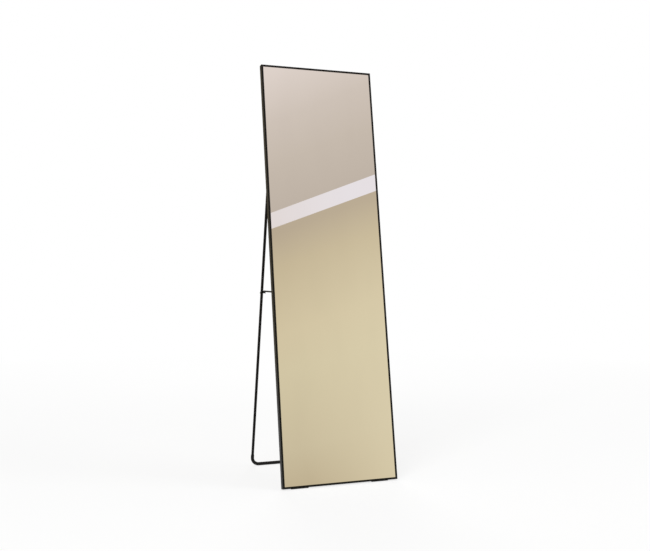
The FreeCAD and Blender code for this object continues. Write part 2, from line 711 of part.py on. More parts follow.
for side, inwards in SIDES.items():
    sign = -1 if side == "left" else 1
    rod_middle = sign * stay_across
    rod_start = rod_middle - stay_radius
    stay = new_piece(f"{side}_stay", on_stay)
    path = new_sketch(stay, "YZ_Plane", rod_middle)
    draw_path(path, [
        (Size.of(0), Size.of(0)),
        (stay_length, Size.of(0)),
        (stay_length + hook_radius, -hook_radius, stay_length, -hook_radius, hook_radius),
        (stay_length + hook_radius, -hook_radius - size.hook_tail)])
    section = new_sketch(stay, "XZ_Plane")
    draw_circle(section, rod_middle, 0, stay_radius)
    rod = sweep(stay, path, section)
    tail_end = -(hook_radius + size.hook_tail).value
    round_edges(stay, rod, size.end_round, lambda edge: (
        edge.BoundBox.ZLength < 0.01 and abs(edge.BoundBox.ZMin - tail_end) < 0.01))
    extrude(stay, "YZ_Plane", rod_start, size.stay_dia,
            lambda drawing: draw_circle(drawing, 0, 0, size.eye_dia / 2))
    drill(stay, "YZ_Plane", rod_start, size.stay_dia,
          lambda drawing: draw_circle(drawing, 0, 0, pin_bore))

    def slice_at(start, length):
        """A slice whose distance from the middle grows from start, on this side."""
        return (start, length) if sign > 0 else (-start - length, length)

    def disc(body, start, length, back, up, radius):
        low, thick = slice_at(start, length)
        extrude(body, "YZ_Plane", low, thick,
                lambda drawing: draw_circle(drawing, back, up, radius))

    pivot = new_piece(f"{side}_stay_pivot", on_mirror)
    shank_in = stay_inner - size.side_play
    disc(pivot, shank_in, rail_inner + size.rail_wall - shank_in,
         stay_depth, stay_height, pin_radius)
    disc(pivot, stay_outer + size.side_play, rail_inner - stay_outer - size.side_play,
         stay_depth, stay_height, size.collar_dia / 2)
    disc(pivot, shank_in - size.head_height, size.head_height,
         stay_depth, stay_height, size.stud_head_dia / 2)
    disc(pivot, rail_inner + size.rail_wall, size.tail_height,
         stay_depth, stay_height, size.tail_dia / 2)

    stud = new_piece(f"{side}_hook_stud", on_stand)
    stud_out = leg_across + tube_radius
    disc(stud, shank_in, stud_out - shank_in, 0, -size.stay_drop, size.stud_dia / 2)
    disc(stud, stud_out, size.head_height, 0, -size.stay_drop, size.stud_head_dia / 2)
    disc(stud, shank_in - size.head_height, size.head_height, 0, -size.stay_drop,
         size.stud_head_dia / 2)

# ---------------------------------------------------- pads and wall hangers
# Under the leaning frame each pad is a wedge, so that its underside is level.


def floor_below(back):
    """Height, up the face, of the floor at a depth behind the front face."""
    return -(lift - back * sine(size.lean_angle)) / cosine(size.lean_angle)


for side, sign in (("left", -1), ("right", 1)):
    pad = new_piece(f"{side}_floor_pad", on_mirror)
    pad_back = size.frame_depth - size.foot_margin
    pad_front = pad_back - size.foot_width
    wedge = extrude(pad, "YZ_Plane", sign * foot_across - size.foot_length / 2,
                    size.foot_length, lambda drawing: draw_outline(
                        drawing, [(pad_front, floor_below(pad_front)),
                                  (pad_back, floor_below(pad_back)),
                                  (pad_back, 0), (pad_front, 0)]))
    round_edges(pad, wedge, size.foot_round, lambda edge: (
        isinstance(edge.Curve, Part.Line) and abs(edge.Curve.Direction.z) > 0.999))

    hanger = new_piece(f"{side}_wall_hanger", on_mirror)
    middle = sign * hanger_across
    plate = extrude(hanger, "XZ_Plane", size.frame_depth, size.plate_thick,
                    lambda drawing: draw_box(
                        drawing, middle - size.hanger_width / 2,
                        from_top(size.hanger_top + size.hanger_height),
                        middle + size.hanger_width / 2, from_top(size.hanger_top)))
    round_edges(hanger, plate, size.plate_round, is_thickness_edge(1, size.plate_thick))
    drill(hanger, "XZ_Plane", size.frame_depth, size.plate_thick, lambda drawing: (
        draw_circle(drawing, middle, from_top(size.hanger_hole_drop),
                    size.hanger_hole_dia / 2),
        draw_circle(drawing, middle - size.hanger_screw_pitch / 2, from_top(rail_middle),
                    size.screw_dia / 2),
        draw_circle(drawing, middle + size.hanger_screw_pitch / 2, from_top(rail_middle),
                    size.screw_dia / 2)))

plate_screws("hanger_screws", [(across, from_top(rail_middle))
                               for across in hanger_screws_across])

# --------------------------------------------------------- check and write

doc.recompute()
for thing in doc.Objects:
    faults = {"Invalid", "Error"} & set(thing.State)
    if faults:
        raise RuntimeError(f"{thing.Label}: {sorted(faults)} {thing.getStatusString()}")
for feature in cuts:
    if feature.Shape.Volume > feature.BaseFeature.Shape.Volume - 0.001:
        raise RuntimeError(f"{feature.Label} cuts nothing")
for body, solids in pieces:
    shape = body.Shape
    if shape.isNull() or not shape.isValid():
        raise RuntimeError(f"{body.Label} has no valid shape")
    if len(shape.Solids) != solids:
        raise RuntimeError(f"{body.Label} has {len(shape.Solids)} solids, not {solids}")

os.makedirs("parts", exist_ok=True)
for body, solids in pieces:
    body.Shape.exportStep(f"parts/{body.Label}.step")

print(f"{len(pieces)} sub-parts")
for name in ("leg_tilt", "leg_length", "hinge_back", "hinge_up", "foot_back", "half_depth",
             "stay_front", "stay_up", "stay_length", "stay_height", "lift"):
    print(f"{name} {getattr(worked, name):.4f}")
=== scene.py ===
# %% [markdown]
# A full-length floor mirror in a thin black frame, leaning back on a bent tube
# stand. Every rigid piece comes ready-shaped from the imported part, so this lesson
# is about finishes, light and the few small pieces that deserve a finer shape.
# The part is loaded first and nothing in it is ever moved.

# %% Load the part
import json
import math

import bpy
from mathutils import Matrix, Vector


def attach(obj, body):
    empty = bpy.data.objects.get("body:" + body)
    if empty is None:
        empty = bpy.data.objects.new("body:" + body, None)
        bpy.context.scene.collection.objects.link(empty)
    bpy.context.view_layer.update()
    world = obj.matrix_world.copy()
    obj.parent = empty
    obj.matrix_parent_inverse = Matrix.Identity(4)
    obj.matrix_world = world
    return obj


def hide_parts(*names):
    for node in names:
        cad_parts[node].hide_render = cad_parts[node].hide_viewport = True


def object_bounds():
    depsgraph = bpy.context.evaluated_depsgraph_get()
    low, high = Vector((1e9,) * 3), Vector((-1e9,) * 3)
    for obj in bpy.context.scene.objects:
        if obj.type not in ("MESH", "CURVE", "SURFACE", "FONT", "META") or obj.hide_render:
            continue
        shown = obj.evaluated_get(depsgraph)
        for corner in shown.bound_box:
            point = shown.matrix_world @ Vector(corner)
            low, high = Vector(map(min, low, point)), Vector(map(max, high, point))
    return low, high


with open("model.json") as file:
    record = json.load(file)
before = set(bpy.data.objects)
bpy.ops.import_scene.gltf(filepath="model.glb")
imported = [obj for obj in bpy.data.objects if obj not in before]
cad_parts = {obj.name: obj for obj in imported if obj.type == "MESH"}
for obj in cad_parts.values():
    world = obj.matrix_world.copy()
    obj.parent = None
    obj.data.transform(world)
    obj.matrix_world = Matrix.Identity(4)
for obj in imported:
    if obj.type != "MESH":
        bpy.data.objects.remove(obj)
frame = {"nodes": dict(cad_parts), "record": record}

cad_low, cad_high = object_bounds()
print("part:", len(frame["nodes"]), "pieces,", round(cad_high.z, 3), "m high")

# %% [markdown]
# The camera stands to the left of the mirror at about the height of its middle
# and looks almost level. Its place and lens could be found by moving it about
# until the view looks right. Fitting them to the straight edges of the frame and
# of the stand is surer, and gave the values here: places in metres, angles in
# degrees, lens and sensor in millimetres.

# %% Camera
LENS = 51.155
SENSOR = 36.0
CAMERA_PLACE = (-1.1398, -2.9448, 0.7076)
CAMERA_TURN = 21.481
CAMERA_DIP = 0.575

camera_data = bpy.data.cameras.new("camera")
camera_data.lens = LENS
camera_data.sensor_width = SENSOR
camera_data.sensor_fit = "HORIZONTAL"
camera = bpy.data.objects.new("camera", camera_data)
camera.location = CAMERA_PLACE
camera.rotation_euler = (math.radians(90 - CAMERA_DIP), 0, -math.radians(CAMERA_TURN))
bpy.context.scene.collection.objects.link(camera)
bpy.context.scene.camera = camera
bpy.context.scene.view_settings.view_transform = "Standard"
print("camera:", round(camera.location.length, 2), "m from the part's origin")

# %% [markdown]
# Materials are built from nodes. Wiring nodes by hand gets long, so one small
# class wraps a socket: adding, subtracting or multiplying two of them adds the
# Math node that does it. Every other kind of node comes from its node method,
# which takes the node's settings first and then what goes into its sockets.

# %% Shader maths
class Wire:
    """A socket of a material's nodes that Python's operators work on."""

    def __init__(self, tree, socket):
        self.tree = tree
        self.socket = socket

    def node(self, kind, settings=None, inputs=None, output=0):
        """Adds a node and gives back one of its outputs."""
        made = self.tree.nodes.new(kind)
        for name, value in (settings or {}).items():
            if name == "stops":
                set_stops(made.color_ramp, value)
            else:
                setattr(made, name, value)
        for name, value in (inputs or {}).items():
            if isinstance(value, Wire):
                self.tree.links.new(value.socket, made.inputs[name])
            else:
                made.inputs[name].default_value = value
        return Wire(self.tree, made.outputs[output] if made.outputs else None)

    def math(self, operation, first, second):
        return self.node("ShaderNodeMath", {"operation": operation}, {0: first, 1: second})

    def __add__(self, other):
        return self.math("ADD", self, other)

    def __sub__(self, other):
        return self.math("SUBTRACT", self, other)

    def __rsub__(self, other):
        return self.math("SUBTRACT", other, self)

    def __mul__(self, other):
        return self.math("MULTIPLY", self, other)

    __radd__ = __add__
    __rmul__ = __mul__


def set_stops(ramp, stops):
    """Gives a colour ramp its stops, each a place from 0 to 1 and a colour."""
    while len(ramp.elements) < len(stops):
        ramp.elements.new(0.5)
    for element, (place, colour) in zip(ramp.elements, stops):
        element.position = place
        element.color = (*colour, 1)


# %% [markdown]
# A finish starts from the piece's own coordinates, in metres, so that a pattern
# keeps its real scale and stays on the piece when the stand folds. The Mix node
# has sockets for numbers, vectors and colours under the same names, so its colour
# sockets are reached by number.

# %% Helpers for finishes
FIRST_COLOUR = 6
SECOND_COLOUR = 7
COLOUR_OUT = 2


def start(name):
    """A new material and the Wire of the piece's own coordinates."""
    material = bpy.data.materials.new(name)
    material.use_nodes = True
    material.node_tree.nodes.clear()
    coordinates = material.node_tree.nodes.new("ShaderNodeTexCoord")
    return material, Wire(material.node_tree, coordinates.outputs["Object"])


def noise(place, scale, detail=2.0):
    """Soft random blotches from 0 to 1, with scale of them to a metre."""
    return place.node("ShaderNodeTexNoise", None, {"Vector": place, "Scale": scale, "Detail": detail})


def spread(value, low, high):
    """Takes low to 0 and high to 1, and holds what lies outside them."""
    return value.node("ShaderNodeMapRange", None, {"Value": value, "From Min": low, "From Max": high})


def blend_colours(amount, first, second):
    """The first colour where amount is 0 and the second where it is 1."""
    colours = {0: amount}
    for index, colour in ((FIRST_COLOUR, first), (SECOND_COLOUR, second)):
        colours[index] = colour if isinstance(colour, Wire) else (*colour, 1)
    return amount.node("ShaderNodeMix", {"data_type": "RGBA"}, colours, COLOUR_OUT)


def bump(height, depth):
    """A relief of that height map, depth metres deep."""
    return height.node("ShaderNodeBump", None, {"Height": height, "Distance": depth})


def finish_with(place, inputs):
    """The surface itself, from what goes into its sockets."""
    surface = place.node("ShaderNodeBsdfPrincipled", None, inputs)
    place.node("ShaderNodeOutputMaterial", None, {"Surface": surface})


# %% [markdown]
# The aluminium frame and the steel stand are powder coated: the powder melts into
# a satin skin with a very fine orange peel. One flat black would look cut out of
# paper, so two sizes of noise are used, a fine one as relief and a coarse one that
# makes the sheen a little uneven, as on handled metal. The stand is a shade duller.

# %% Powder coat
PEEL_GRAIN = 1500
PEEL_DEPTH = 0.00002
PEEL_SHARE = 0.3
HANDLING_PATCHES = 14
COAT_SPECULAR = 0.12


def powder_coat(name, dark, pale, sheen):
    """Black powder coat between two colours, with sheen as its mean roughness."""
    material, place = start(name)
    peel = noise(place, PEEL_GRAIN, detail=3.0)
    patches = spread(noise(place, HANDLING_PATCHES, detail=4.0), 0.35, 0.65)
    finish_with(place, {
        "Base Color": blend_colours(patches * (1 - PEEL_SHARE) + peel * PEEL_SHARE, dark, pale),
        "Roughness": sheen - 0.05 + patches * 0.07 + peel * 0.04,
        "Specular IOR Level": COAT_SPECULAR,
        "Normal": bump(peel, PEEL_DEPTH),
    })
    return material


frame_coat = powder_coat("frame_coat", (0.0030, 0.0027, 0.0023), (0.0055, 0.0050, 0.0042), 0.40)
stand_coat = powder_coat("stand_coat", (0.0025, 0.0023, 0.0020), (0.0046, 0.0043, 0.0038), 0.46)
print("powder coats:", frame_coat.name, stand_coat.name)

# %% [markdown]
# A mirror is float glass with silver behind it. It could be built as clear glass
# over a silver sheet, but from outside only the silver shows, so the pane is a
# metal that is almost perfectly smooth. A wiped mirror still has faint cloth
# marks, longest up and down, that dull it a very little.

# %% Mirror
WIPE_STRETCH = (3.0, 3.0, 0.8)
WIPE_MARKS = 4.0
WIPE_SHADE = 0.985
WIPE_DULLING = 0.018


def stretch(place, scale):
    """The coordinates times scale along each axis: a small one draws a pattern out."""
    return place.node("ShaderNodeMapping", None, {"Vector": place, "Scale": scale})


def silvered_glass(name, silver):
    """Silver of that colour, with cloth marks that are a trace darker and duller."""
    material, place = start(name)
    wipes = spread(noise(stretch(place, WIPE_STRETCH), WIPE_MARKS, detail=6.0), 0.45, 0.75)
    finish_with(place, {
        "Base Color": blend_colours(wipes, silver, [c * WIPE_SHADE for c in silver]),
        "Metallic": 1.0,
        "Roughness": wipes * WIPE_DULLING,
    })
    return material


mirror_silver = silvered_glass("mirror_silver", (0.94, 0.95, 0.94))
print("mirror:", mirror_silver.name)

# %% [markdown]
# The brown hardboard closes the back, and is most of what shows there. It is
# pressed from wood fibres. One brown noise would look like clay, so three are
# laid over each other: broad clouds, pale fibres drawn out along the board, and
# small dark flecks. The fibres also give the relief.

# %% Hardboard
BOARD_CLOUDS = 9
BOARD_FIBRES = 900
BOARD_FLECKS = 420
FIBRE_STRETCH = (1.0, 1.0, 0.35)
FIBRE_DEPTH = 0.00008
FLECK_SHARE = 0.4


def hardboard(name):
    material, place = start(name)
    fibres = noise(stretch(place, FIBRE_STRETCH), BOARD_FIBRES, detail=6.0)
    flecks = spread(noise(place, BOARD_FLECKS, detail=5.0), 0.56, 0.72)
    clouds = noise(place, BOARD_CLOUDS, detail=3.0)
    brown = blend_colours(clouds, (0.155, 0.085, 0.043), (0.225, 0.132, 0.072))
    streaked = blend_colours(spread(fibres, 0.35, 0.7), brown, (0.30, 0.19, 0.11))
    finish_with(place, {
        "Base Color": blend_colours(flecks * FLECK_SHARE, streaked, (0.075, 0.036, 0.018)),
        "Roughness": 0.52 + fibres * 0.22,
        "Normal": bump(fibres, FIBRE_DEPTH),
    })
    return material


back_hardboard = hardboard("back_hardboard")
print("back:", back_hardboard.name)

# %% [markdown]
# Between the board and the glass lie a foam sheet and a safety film that holds
# the pieces if the glass breaks. They only show when the mirror is taken apart,
# so each has one plain pattern: crossed bands for the film's weave, and round
# cells for the foam.

# %% Film and foam
WEAVE_BANDS = 160
WEAVE_DEPTH = 0.00005
FOAM_CELLS = 700
CELL_DEPTH = 0.0002


def woven_film(name):
    material, place = start(name)
    across, upright = (
        place.node("ShaderNodeTexWave", {"bands_direction": axis}, {"Vector": place, "Scale": WEAVE_BANDS})
        for axis in "XZ")
    weave = across * upright
    finish_with(place, {
        "Base Color": blend_colours(weave, (0.42, 0.43, 0.44), (0.66, 0.67, 0.68)),
        "Roughness": 0.45 + weave * 0.2,
        "Normal": bump(weave, WEAVE_DEPTH),
    })
    return material


def packing_foam(name):
    material, place = start(name)
    cells = place.node("ShaderNodeTexVoronoi", None, {"Vector": place, "Scale": FOAM_CELLS})
    finish_with(place, {
        "Base Color": blend_colours(cells, (0.88, 0.88, 0.86), (0.74, 0.74, 0.72)),
        "Roughness": 0.72 + cells * 0.2,
        "Normal": bump(cells, CELL_DEPTH),
    })
    return material


film_weave = woven_film("film_weave")
foam_cells = packing_foam("foam_cells")
print("behind the glass:", film_weave.name, foam_cells.name)

# %% [markdown]
# The fittings: blackened steel for pins, pivots, studs and bracket screws, bright
# zinc for the hangers and grub screws, and a plain casting for the corner keys.
# One grey metal for all would look like a toy's. Plated and cast metal are told
# apart by how even they are, so each has its own mottle in colour and roughness.

# %% Metal fittings
STEEL_MOTTLE = 260
STEEL_GRAIN = 2200
STEEL_METAL = 0.6
ZINC_MOTTLE = 130
ZINC_BRUSHING = 2600
BRUSHING_STRETCH = (1.0, 1.0, 0.04)
POLISHED_DEPTH = 0.00001
CAST_GRAIN = 1100
CAST_DEPTH = 0.00005


def blackened_steel(name):
    material, place = start(name)
    mottle = noise(place, STEEL_MOTTLE, detail=4.0)
    finish_with(place, {
        "Base Color": blend_colours(mottle, (0.012, 0.012, 0.013), (0.030, 0.029, 0.028)),
        "Metallic": STEEL_METAL,
        "Roughness": 0.30 + mottle * 0.18,
        "Normal": bump(noise(place, STEEL_GRAIN), POLISHED_DEPTH),
    })
    return material


def zinc_plate(name):
    material, place = start(name)
    mottle = noise(place, ZINC_MOTTLE, detail=5.0)
    brushing = noise(stretch(place, BRUSHING_STRETCH), ZINC_BRUSHING)
    finish_with(place, {
        "Base Color": blend_colours(mottle, (0.50, 0.51, 0.53), (0.66, 0.66, 0.64)),
        "Metallic": 1.0,
        "Roughness": 0.26 + mottle * 0.14 + brushing * 0.08,
        "Normal": bump(brushing, POLISHED_DEPTH),
    })
    return material


def cast_metal(name):
    material, place = start(name)
    grain = noise(place, CAST_GRAIN, detail=4.0)
    finish_with(place, {
        "Base Color": blend_colours(grain, (0.46, 0.46, 0.47), (0.60, 0.60, 0.61)),
        "Metallic": 1.0,
        "Roughness": 0.42 + grain * 0.2,
        "Normal": bump(grain, CAST_DEPTH),
    })
    return material


black_steel = blackened_steel("black_steel")
zinc = zinc_plate("zinc")
casting = cast_metal("casting")
print("fittings:", black_steel.name, zinc.name, casting.name)

# %% [markdown]
# The soft parts: a black rubber sleeve that keeps the stand from sliding, rubber
# pads under the frame, moulded plastic plugs, and pale nylon hinge washers.
# Rubber is matt, and near the floor it gathers a little grey dust. That could be
# painted by hand, but height and noise do it for every piece at once.

# %% Rubber and plastic
DUST_HEIGHT = 0.006
DUST_PATCHES = 90
DUST_SHARE = 0.25
DUST_GREY = (0.10, 0.095, 0.088)
RUBBER_GRAIN = 1300
RUBBER_DEPTH = 0.00004
RUBBER_SPECULAR = 0.2
PLASTIC_CLOUDS = 60
PLASTIC_GRAIN = 1700
PLASTIC_DEPTH = 0.00002


def part_of(place, axis):
    """The X, Y or Z of a place."""
    return place.node("ShaderNodeSeparateXYZ", None, {"Vector": place}, "XYZ".index(axis))


def dusty_rubber(name, black):
    material, place = start(name)
    low_down = 1 - spread(part_of(place, "Z"), 0.0, DUST_HEIGHT)
    patches = spread(noise(place, DUST_PATCHES, detail=5.0), 0.45, 0.7)
    skin = noise(place, RUBBER_GRAIN, detail=3.0)
    finish_with(place, {
        "Base Color": blend_colours(low_down * patches * DUST_SHARE, black, DUST_GREY),
        "Roughness": 0.58 + skin * 0.16,
        "Specular IOR Level": RUBBER_SPECULAR,
        "Normal": bump(skin, RUBBER_DEPTH),
    })
    return material


def moulded_plastic(name, first, second, roughness):
    material, place = start(name)
    skin = noise(place, PLASTIC_GRAIN)
    finish_with(place, {
        "Base Color": blend_colours(noise(place, PLASTIC_CLOUDS, detail=3.0), first, second),
        "Roughness": roughness + skin * 0.1,
        "Normal": bump(skin, PLASTIC_DEPTH),
    })
    return material


sleeve_rubber = dusty_rubber("sleeve_rubber", (0.0040, 0.0038, 0.0036))
pad_rubber = dusty_rubber("pad_rubber", (0.010, 0.0098, 0.0095))
black_plastic = moulded_plastic("black_plastic", (0.014, 0.014, 0.014), (0.020, 0.020, 0.020), 0.38)
pale_nylon = moulded_plastic("pale_nylon", (0.70, 0.69, 0.63), (0.78, 0.77, 0.72), 0.35)
print("soft parts:", sleeve_rubber.name, pad_rubber.name, black_plastic.name, pale_nylon.name)

# %% [markdown]
# Each piece of the part gets its finish by name, in a table that reads like a
# maker's list of parts. It could be worked out from the names themselves, but a
# table is easier to check, and a piece that it forgets shows in the printed line.

# %% Dress the part
FINISHES = {
    frame_coat: ["left_rail", "right_rail", "top_rail", "bottom_rail"],
    stand_coat: [
        "stand_tube", "left_stay", "right_stay", "left_hinge_bracket", "right_hinge_bracket",
    ],
    mirror_silver: ["mirror_glass"],
    film_weave: ["safety_film"],
    foam_cells: ["foam_sheet"],
    back_hardboard: ["back_board"],
    casting: [
        "corner_key_bottom_left", "corner_key_bottom_right",
        "corner_key_top_left", "corner_key_top_right",
    ],
    zinc: ["corner_grub_screws", "left_wall_hanger", "right_wall_hanger", "hanger_screws"],
    black_steel: [
        "left_hinge_pin", "right_hinge_pin", "left_stay_pivot", "right_stay_pivot",
        "left_hook_stud", "right_hook_stud", "bracket_screws",
    ],
    sleeve_rubber: ["anti_slip_sleeve"],
    pad_rubber: ["left_floor_pad", "right_floor_pad"],
    black_plastic: ["left_tube_plug", "right_tube_plug"],
    pale_nylon: ["hinge_washers"],
}


def dress(piece, material):
    piece.data.materials.clear()
    piece.data.materials.append(material)


for material, names in FINISHES.items():
    for name in names:
        dress(frame["nodes"][name], material)
dressed = {name for names in FINISHES.values() for name in names}
print("without a finish:", sorted(set(frame["nodes"]) - dressed))

# %% [markdown]
# Some small pieces deserve a finer shape than the part gives them: the pressed
# hanger plates and the screws. They are modelled the way a person would do it,
# with operators and modifiers, so a few helpers come first. An operator acts on
# all that is selected, so the first helpers are about selecting. A face is picked
# by where its normal points: past FACING along an axis, it looks that way.

# %% Selecting
FACING = 0.9


def select_only(piece):
    bpy.ops.object.select_all(action="DESELECT")
    piece.select_set(True)
    bpy.context.view_layer.objects.active = piece


def select_parts(piece, parts, mode, wanted):
    """Goes into edit mode with only the wanted faces or edges selected."""
    if piece.mode == "EDIT":
        bpy.ops.object.mode_set(mode="OBJECT")
    select_only(piece)
    bpy.ops.object.mode_set(mode="EDIT")
    bpy.ops.mesh.select_mode(type=mode)
    bpy.ops.mesh.select_all(action="DESELECT")
    bpy.ops.object.mode_set(mode="OBJECT")
    for part in parts:
        part.select = wanted(part)
    bpy.ops.object.mode_set(mode="EDIT")


def select_faces(piece, wanted):
    select_parts(piece, piece.data.polygons, "FACE", wanted)


def select_edges(piece, wanted):
    """As select_faces, where wanted is given the way the edge runs, as a vector."""
    points = piece.data.vertices
    select_parts(piece, piece.data.edges, "EDGE", lambda edge: wanted(
        points[edge.vertices[1]].co - points[edge.vertices[0]].co))


# %% [markdown]
# Every piece here starts as a block or a round bar, is joined with others or cut
# by them, and has its edges rounded last. A real edge is never quite sharp, and
# the thin line of light along it is what makes a small part look solid.

# %% Starting shapes and tools
BAR_SIDES = 48
SHARP = math.radians(30)
EDGE_STEPS = 2


def block(name, middle, size):
    """A block to start from, with its size in its mesh."""
    bpy.ops.object.select_all(action="DESELECT")
    bpy.ops.mesh.primitive_cube_add(size=1, location=middle)
    bpy.context.object.name = name
    bpy.context.object.scale = size
    bpy.ops.object.transform_apply(location=True, rotation=True, scale=True)
    return bpy.context.object


def bar(name, middle, radius, length, tip=None):
    """A round bar along Y, with another radius at its far end if tip is given."""
    bpy.ops.object.select_all(action="DESELECT")
    bpy.ops.mesh.primitive_cone_add(
        vertices=BAR_SIDES, radius1=radius, radius2=radius if tip is None else tip, depth=length,
        location=middle, rotation=(-math.pi / 2, 0, 0))
    bpy.context.object.name = name
    bpy.ops.object.transform_apply(location=True, rotation=True, scale=True)
    return bpy.context.object


def apply_modifier(piece, kind, settings):
    select_only(piece)
    modifier = piece.modifiers.new(kind.lower(), kind)
    for name, value in settings.items():
        setattr(modifier, name, value)
    bpy.ops.object.modifier_apply(modifier=modifier.name)


def combine(piece, tool, operation):
    """Adds the tool to the piece or cuts it out, and throws the tool away."""
    apply_modifier(piece, "BOOLEAN", {"object": tool, "operation": operation, "solver": "EXACT"})
    bpy.data.objects.remove(tool)


def soften(piece, width):
    """Rounds every sharp edge a little and keeps the flat faces looking flat."""
    select_only(piece)
    bpy.ops.object.shade_smooth_by_angle(angle=SHARP)
    apply_modifier(piece, "BEVEL", {
        "width": width, "segments": EDGE_STEPS, "limit_method": "ANGLE", "angle_limit": SHARP,
        "harden_normals": True})


# %% [markdown]
# A hanger is a steel plate with a hole for the wall screw. A press stamps it out
# and raises a ring round the hole, which keeps the thin plate from tearing there.
# A relief in the material could fake the ring, but its rim would stay flat from
# the side. So it is modelled, lying round its own hole with +Y away from the
# mirror: a block with rounded corners, a low cone for the ring, then three holes.

# %% Press a hanger
PLATE_THICK = 0.0015
PLATE_WIDTH = 0.040
PLATE_HEIGHT = 0.030
PLATE_CORNER = 0.002
CORNER_STEPS = 6
PLATE_EDGE = 0.00025
HOLE_BELOW_MIDDLE = 0.005
HOLE_RADIUS = 0.0045
RING_RADIUS = 0.0078
RING_RISE = 0.0006
RING_TOP_RADIUS = RING_RADIUS - 2 * RING_RISE
SCREW_ACROSS = 0.013
SCREW_ABOVE_HOLE = 0.015
SCREW_HOLE_RADIUS = 0.00175
THROUGH = 0.01


def press_hanger():
    """A hanger plate with the middle of its hole at the origin."""
    plate = block("hanger", (0, 0, HOLE_BELOW_MIDDLE), (PLATE_WIDTH, PLATE_THICK, PLATE_HEIGHT))
    select_edges(plate, lambda way: abs(way.y) > PLATE_THICK / 2)
    bpy.ops.mesh.bevel(offset=PLATE_CORNER, segments=CORNER_STEPS, affect="EDGES")
    bpy.ops.object.mode_set(mode="OBJECT")
    ring_height = PLATE_THICK / 2 + RING_RISE
    ring = bar("ring", (0, ring_height / 2, 0), RING_RADIUS, ring_height, RING_TOP_RADIUS)
    combine(plate, ring, "UNION")
    combine(plate, bar("hole", (0, 0, 0), HOLE_RADIUS, THROUGH), "DIFFERENCE")
    for across in (-SCREW_ACROSS, SCREW_ACROSS):
        screw_hole = bar("hole", (across, 0, SCREW_ABOVE_HOLE), SCREW_HOLE_RADIUS, THROUGH)
        combine(plate, screw_hole, "DIFFERENCE")
    soften(plate, PLATE_EDGE)
    return plate


hanger = press_hanger()
print("hanger:", len(hanger.data.polygons), "faces")

# %% [markdown]
# The screws have pan heads with a cross recess. A head could be spun from half
# its outline, but then its middle needs care, so it starts as a short bar. Its
# top is drawn in and raised ring by ring along a quarter of an ellipse, its
# underside gives the shank, and two crossed blocks cut the recess. DOME_RINGS
# are the rings' angles along that quarter.

# %% Turn a screw
HEAD_RADIUS = 0.00325
HEAD_RIM = 0.0009
HEAD_DOME = 0.0011
HEAD_EDGE = 0.00006
SHANK_RADIUS = 0.0017
SHANK_LENGTH = 0.006
RECESS = (0.0040, 0.0018, 0.0008)
DOME_RINGS = (18, 36, 54, 70, 82)


def turn_screw():
    """A screw along Y with the underside of its head at the origin."""
    screw = bar("screw", (0, HEAD_RIM / 2, 0), HEAD_RADIUS, HEAD_RIM)
    select_faces(screw, lambda face: face.normal.y > FACING)
    radius, height = HEAD_RADIUS, 0.0
    for angle in DOME_RINGS:
        next_radius = HEAD_RADIUS * math.cos(math.radians(angle))
        next_height = HEAD_DOME * math.sin(math.radians(angle))
        bpy.ops.mesh.inset(thickness=radius - next_radius, depth=next_height - height)
        radius, height = next_radius, next_height
    select_faces(screw, lambda face: face.normal.y < -FACING)
    bpy.ops.mesh.inset(thickness=HEAD_RADIUS - SHANK_RADIUS)
    bpy.ops.mesh.extrude_region_move(TRANSFORM_OT_translate={"value": (0, -SHANK_LENGTH, 0)})
    bpy.ops.object.mode_set(mode="OBJECT")
    wide, deep, narrow = RECESS
    for size in ((wide, deep, narrow), (narrow, deep, wide)):
        combine(screw, block("recess", (0, HEAD_RIM + HEAD_DOME, 0), size), "DIFFERENCE")
    soften(screw, HEAD_EDGE)
    return screw


screw = turn_screw()
print("screw:", len(screw.data.polygons), "faces")

# %% [markdown]
# Both are now copied to their places. The record gives each hanger's hole as a
# mount, with the way out of the mirror's back as its axis, and each hinge as a
# joint. Everything else is measured from those along the leaning frame. No two
# screws stop at the same turn, so each copy is turned by another angle.

# %% Put them on the frame
HINGE_BEHIND_PLATE = 0.0075
HINGE_TO_SCREWS = (0.017, 0.030)
SCREW_IN_FROM_EDGE = 0.007
TURN_STEP = 37

mounts = {mount["name"]: mount for mount in frame["record"]["mounts"]}
hinge_line = Vector(frame["record"]["behaviour"]["joints"][0]["pos_m"])
backwards = Vector(mounts["left_hanger_hole"]["axis"])
upwards = Vector((0, -backwards.z, backwards.y))
leaning = Matrix.Rotation(-math.atan2(upwards.y, upwards.z), 4, "X")
fastened = []


def settle(piece, name, place):
    """A copy with its own mesh, put at that place and left with the place in its mesh."""
    copy = piece.copy()
    copy.data = piece.data.copy()
    copy.name = name
    bpy.context.scene.collection.objects.link(copy)
    copy.matrix_world = place
    select_only(copy)
    bpy.ops.object.transform_apply(location=True, rotation=True, scale=True)
    return copy


def fasten(name, middle, node, material):
    """One more screw at that place, which stands in for its node."""
    turn = Matrix.Rotation(math.radians(TURN_STEP * len(fastened)), 4, "Y")
    made = settle(screw, name, Matrix.Translation(middle) @ leaning @ turn)
    dress(made, material)
    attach(made, "mirror")
    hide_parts(node)
    fastened.append(made)


